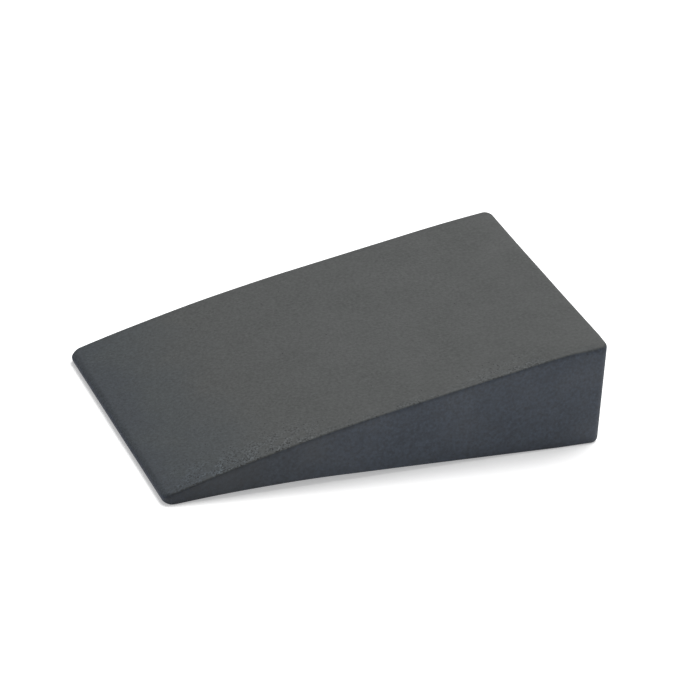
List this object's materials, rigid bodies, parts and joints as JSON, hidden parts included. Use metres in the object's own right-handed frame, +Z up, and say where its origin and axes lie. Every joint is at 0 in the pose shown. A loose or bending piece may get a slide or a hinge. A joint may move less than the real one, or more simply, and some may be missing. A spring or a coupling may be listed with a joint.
{
  "type": "door stop",
  "caption": "Solid rubber door wedge with a ramp curving down to a thin rounded nose, an upright heel and an arched, grooved underside.",
  "frame": {"origin": "on the floor plane, under the centre of the wedge's bounding box", "axes": "+X from the thin nose to the thick heel, +Y across the width, +Z up from the floor"},
  "size_m": [0.1, 0.066, 0.0245],
  "materials": {
    "rubber": "matte charcoal rubber with a fine pebble grain"
  },
  "bodies": {
    "root": {"wedge": "rubber"}
  },
  "joints": []
}
